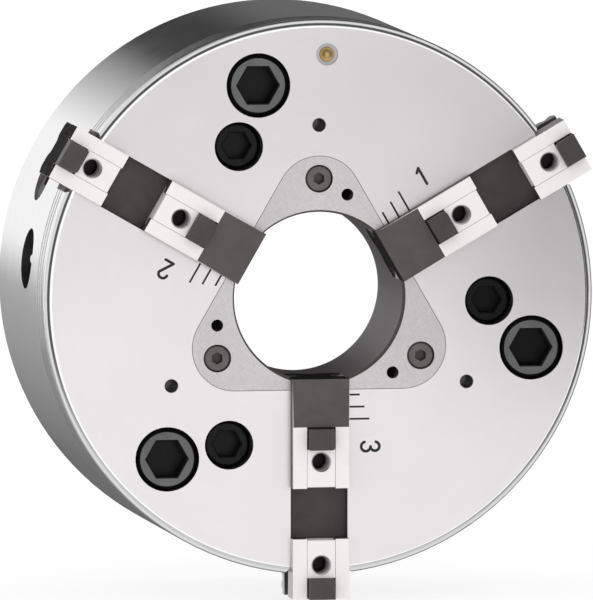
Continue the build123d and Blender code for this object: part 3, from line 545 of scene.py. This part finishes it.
TINY = 1e-9                     # keeps a division away from zero
FACING_OUT = 0.002              # outward part of a normal anywhere on the outside
RADIAL = 0.15                   # sideways part that a normal of the side or rim stays under
ROUNDED = 0.05                  # forward part of a normal on the rounded rim


def on_outside(centre, normal):
    """True on the body's cylindrical side and on its rounded rim, not in the openings there."""
    distance = max(hypot(centre.x, centre.z), TINY)
    outward = (normal.x * centre.x + normal.z * centre.z) / distance
    sideways = (normal.z * centre.x - normal.x * centre.z) / distance
    if radius_of(centre) <= BODY_R / MM - RIM or outward <= FACING_OUT:
        return False
    return abs(sideways) < RADIAL or (depth_of(centre) < RIM and abs(normal.y) > ROUNDED)


def body_finish(centre, normal):
    """Ground front and rear faces, polished outside, painted engravings; painted light in the slot
    mouths, painted shade in the other openings, on the insides and on floors by the cover.
    """
    radius, depth = radius_of(centre), depth_of(centre)
    if on_outside(centre, normal):
        return POLISHED_SIDE
    if depth < FLUSH:
        return GROUND_FACE
    if depth < ENGRAVED and radius < INNER_ZONE:
        return PAINT_BLACK
    if hypot(centre.x - OILER.x, centre.z - OILER.z) < OILER_RECESS:
        return OILER_SEAT
    if normal.y > FLAT and centre.y > -SKIN * MM:
        return GROUND_FACE
    # painted light on the jaw slots' mouths, painted shade in the other openings by the rim
    if radius > BODY_R / MM - MOUTH_DEPTH:
        return MOUTH_LIT if in_jaw_slot(centre) else RECESS_SHADED
    # painted shade: near black on front-facing floors by the cover, darker steel on the other
    # insides
    by_cover = depth < COVER_DEPTH and radius < INNER_ZONE and not in_jaw_slot(centre)
    return JAW_END_SHADED if by_cover and normal.y < -SQUARE else MACHINED_SHADED


def screw_finish(node_name, face, rest, thread=None, piece=None):
    """One finish for the flat top of the heads, one for the threads, another for the rest."""
    low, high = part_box(node_name)

    def choose(centre, normal):
        if thread and centre.y > high.y - THREAD_LENGTH:
            return thread
        return face if abs(centre.y - low.y) < 0.5 * SKIN * MM else rest
    paint(node_name, choose, piece)


def sleeve_finish(centre, normal):
    """Grained cover face, light hole walls, dark honed bore; painted light on the rib ends, painted
    shade on the hole floors and deeper insides.
    """
    depth = depth_of(centre)
    if normal.y < -SQUARE and depth < SKIN:
        return TURNED_COVER
    if radius_of(centre) < SLEEVE_SKIN and normal.y < SQUARE:
        places = [jaw_place(centre, angle) for angle in JAW_ANGLES]
        on_rib = (RIB_DEPTHS[0] < depth < RIB_DEPTHS[1]
                  and any(u > 0 and abs(v) < RIB_HALF for u, v in places))
        return MOUTH_LIT if on_rib else SLEEVE_BORE
    if depth < COVER_DEPTH:
        return FLANK if abs(normal.y) < ACROSS else SCREW_SHADE_BLACK
    return MACHINED_SHADED


def flange_finish(centre, normal):
    """Ground rear face, turned taper and pockets."""
    return REAR_GROUND if normal.y > SQUARE and centre.y > -SKIN * MM else REAR_TURNED


def jaw_finish(angle):
    """Bright pads and outer flanks; dark block and guide grooves; painted shade darkens the cross
    slot and blacks the end faces.
    """
    def choose(centre, normal):
        u, v = jaw_place(centre, angle)
        along = along_jaw(normal, angle)
        if normal.y < -ACROSS and u > BLOCK_END:
            return PADS[angle] if depth_of(centre) < PAD_DEPTH else JAW_SLOT_SHADED
        if abs(along) > SQUARE and (u > JAW_END_FROM or u < BLOCK_MIDDLE):
            return JAW_END_SHADED
        on_flank = max(abs(along), abs(normal.y)) < FLANKING and abs(v) > JAW_SIDE
        return FLANK if on_flank and u > CROSS_END else JAW_DARK
    return choose


def nut_finish(angle):
    """Bright top; painted light in the thread holes; painted shade on the dark outer end."""
    def choose(centre, normal):
        u, v = jaw_place(centre, angle)
        if along_jaw(normal, angle) > SQUARE and u > NUT_END_FROM:
            return JAW_END_SHADED
        in_hole = any(hypot(u - station, v) < NUT_HOLE_R for station in NUT_HOLES)
        if in_hole and normal.y > -FLAT:
            return NUT_HOLE_LIT if abs(normal.y) < ACROSS else MOUTH_LIT
        return PADS[angle]
    return choose


paint("chuck_body", body_finish)
paint("centre_sleeve", sleeve_finish)
paint("mounting_flange", flange_finish)
# painted shade: screw sides and sockets take darker copies of the head finish, and the flange and
# retainer screws are near black all over
screw_finish("cover_screws", SCREW_SMALL, SCREW_SOCKET_SHADED)
threaded = threaded_screws("mounting_screws")
screw_finish("mounting_screws", SCREW_FACE, SCREW_SHADE_BLACK, STUD_THREAD, threaded)
for name in ("flange_screws", "retainer_screws"):
    paint_all(name, SCREW_SHADE_BLACK)
for name in ("sleeve_seal", "piston_seal"):
    paint_all(name, RUBBER)
for name in ("flange_dowels", "draw_piston", "draw_tube_ring"):
    paint_all(name, MACHINED_LIGHT)
paint_all("grease_nipples", ZINC)
paint_all("oiler_ball", BRASS)
paint_all("spindle_clips", SPINDLE_DARK)
for number, angle in enumerate(JAW_ANGLES, start=1):
    paint(f"base_jaw_{number}", jaw_finish(angle))
    paint(f"t_nuts_{number}", nut_finish(angle))
    paint_all(f"jaw_keys_{number}", KEY_DARK)
    paint_all(f"unlock_spindle_{number}", SPINDLE_DARK)
    for part in ("wedge_bar", "bar_retainer", "lock_bolt"):
        paint_all(f"{part}_{number}", MACHINED_LIGHT)


# ---------------------------------------------------------------- studio
FLOOR_GAP = 2 * MM
FLOOR_HALF = 30.0               # half the side of the floor, in metres
FLOOR_DIM = 0.78                # how far the paper's own colour is taken down,
FLOOR_GLOW = 0.86               # because it glows too, which keeps shadows on it faint

CAMERA_AZIMUTH = -10.0
CAMERA_ELEVATION = 5.0
LENS = 1550.0
SENSOR = 36.0                   # of the picture's long side, in millimetres like the lens
CLIP_END = 100.0
IMAGE_HEIGHT = 0.23144          # what the picture shows at the front face, top to bottom
AIM_RIGHT = -8.73 * MM          # picture centre from the face centre, to the camera's right
AIM_UP = -0.95 * MM

FLAG_FROM = Vector((0.108, FRONT_Y, 0.028))     # the flag is mirrored in this place of the face
FLAG_DISTANCE = 0.22
FLAG_SIZE = 0.093

# Brightness of the studio by compass turn in the X-Z plane (0 = +X, 90 = up), seen behind the
# chuck, and by the direction's Y part: softbox in front, dark gap round it, light side walls
RING = ((0, 0.14), (40, 0.14), (60, 0.05), (88, 0.05), (112, 0.50), (135, 1.0), (188, 1.0),
        (206, 0.42), (225, 0.36), (285, 0.15), (360, 0.14))
FRONT = ((-1.0, 1.25), (-0.94, 1.21), (-0.88, 0.10), (-0.50, 0.10), (-0.28, 0.95), (0.15, 0.80),
         (0.45, 0.60), (1.0, 0.6))
BEHIND_FROM, BEHIND_TO = 0.25, 0.65     # Y parts between which the ring takes over
TABLE_FROM, TABLE_TO = -0.25, -0.55     # Z parts between which the white table takes over
TABLE_SHARE = 0.8                       # and how far it does
TABLE_LIGHT = 0.85
ROOM_LIGHT = 1.05                       # even light that falls on matt surfaces


def toward_camera():
    """Unit vector from the chuck to the camera."""
    azimuth, elevation = radians(CAMERA_AZIMUTH), radians(CAMERA_ELEVATION)
    return Vector((sin(azimuth) * cos(elevation), -cos(azimuth) * cos(elevation), sin(elevation)))


def add_sheet(name, corners, material):
    """Flat four-cornered sheet that belongs to the studio."""
    mesh = bpy.data.meshes.new(name)
    mesh.from_pydata(corners, [], [(0, 1, 2, 3)])
    mesh.materials.append(material)
    sheet = bpy.data.objects.new(name, mesh)
    bpy.context.scene.collection.objects.link(sheet)
    return sheet


def paper():
    """White paper that glows."""
    s = Shader("floor_paper")
    grain = s.noise(s.place(), 40.0)
    colour = s.mix(grain, grey(0.93), grey(0.95))
    return s.finish(Base_Color=s.mix(FLOOR_DIM, colour, grey(0.0)), Roughness=0.9,
                    Specular_IOR_Level=0.0, Emission_Color=colour, Emission_Strength=FLOOR_GLOW)


def add_floor():
    """Wide floor just under the object, which polished steel doesn't mirror."""
    half = FLOOR_HALF
    corners = [(-half, -half, 0), (half, -half, 0), (half, half, 0), (-half, half, 0)]
    floor = add_sheet("floor", corners, paper())
    floor.location.z = cad_box[0][2] - FLOOR_GAP
    floor.visible_glossy = False


def flag_cloth():
    """Black woven cloth."""
    s = Shader("flag_cloth")
    weave = s.noise(s.place(), 900.0)
    return s.finish(Base_Color=s.mix(weave, grey(0.01), grey(0.03)), Roughness=0.9)


def add_flag():
    """Small black card in front of the right of the face, seen only as a reflection."""
    half = FLAG_SIZE / 2
    corners = [(-half, 0, -half), (half, 0, -half), (half, 0, half), (-half, 0, half)]
    flag = add_sheet("flag", corners, flag_cloth())
    back = toward_camera()
    flag.location = FLAG_FROM + Vector((-back.x, back.y, -back.z)) * FLAG_DISTANCE
    flag.visible_camera = False
    flag.visible_shadow = False
    flag.visible_diffuse = False


def add_world():
    """White to the camera, even light to matt surfaces, and a studio to polished steel."""
    world = bpy.data.worlds.new("studio")
    bpy.context.scene.world = world
    world.use_nodes = True
    world.cycles.sampling_method = "NONE"
    s = NodeTree(world.node_tree)
    s.tree.nodes.clear()
    xyz = s.add("SeparateXYZ", {0: s.add("TexCoord").outputs["Generated"]})
    x, y, z = xyz.outputs[0], xyz.outputs[1], xyz.outputs[2]
    turn = s.math("FRACT", s.math("ADD", s.math("DIVIDE", s.math("ARCTAN2", z, x), 2 * pi), 1.0))
    ring = s.ramp(turn, [(angle / 360, level) for angle, level in RING])
    front = s.ramp(s.span(y, -1.0, 1.0), [((part + 1) / 2, level) for part, level in FRONT])
    front = s.mix(s.span(z, TABLE_FROM, TABLE_TO, 0.0, TABLE_SHARE), front, grey(TABLE_LIGHT))
    studio = s.mix(s.span(y, BEHIND_FROM, BEHIND_TO), front, ring)
    path = s.add("LightPath")
    seen = s.mix(path.outputs["Is Glossy Ray"], grey(ROOM_LIGHT), studio)
    seen = s.mix(path.outputs["Is Camera Ray"], seen, grey(1.0))
    background = s.add("Background", {"Color": seen})
    s.add("OutputWorld", {0: background.outputs[0]})


def add_camera():
    """Long lens that looks at the front face from a little to the left and above."""
    back = toward_camera()
    azimuth = radians(CAMERA_AZIMUTH)
    right = Vector((cos(azimuth), sin(azimuth), 0))
    up = back.cross(right)
    camera = bpy.data.cameras.new("camera")
    camera.sensor_width = SENSOR
    camera.lens = LENS
    camera.clip_end = CLIP_END
    aim = Vector((0, FRONT_Y, 0)) + right * AIM_RIGHT + up * AIM_UP
    viewer = bpy.data.objects.new("camera", camera)
    viewer.location = aim + back * (LENS * IMAGE_HEIGHT / SENSOR)
    viewer.rotation_euler = back.to_track_quat("Z", "Y").to_euler()
    bpy.context.scene.collection.objects.link(viewer)
    bpy.context.scene.camera = viewer


add_floor()
add_world()
add_flag()
add_camera()
bpy.context.scene.view_settings.view_transform = "Standard"
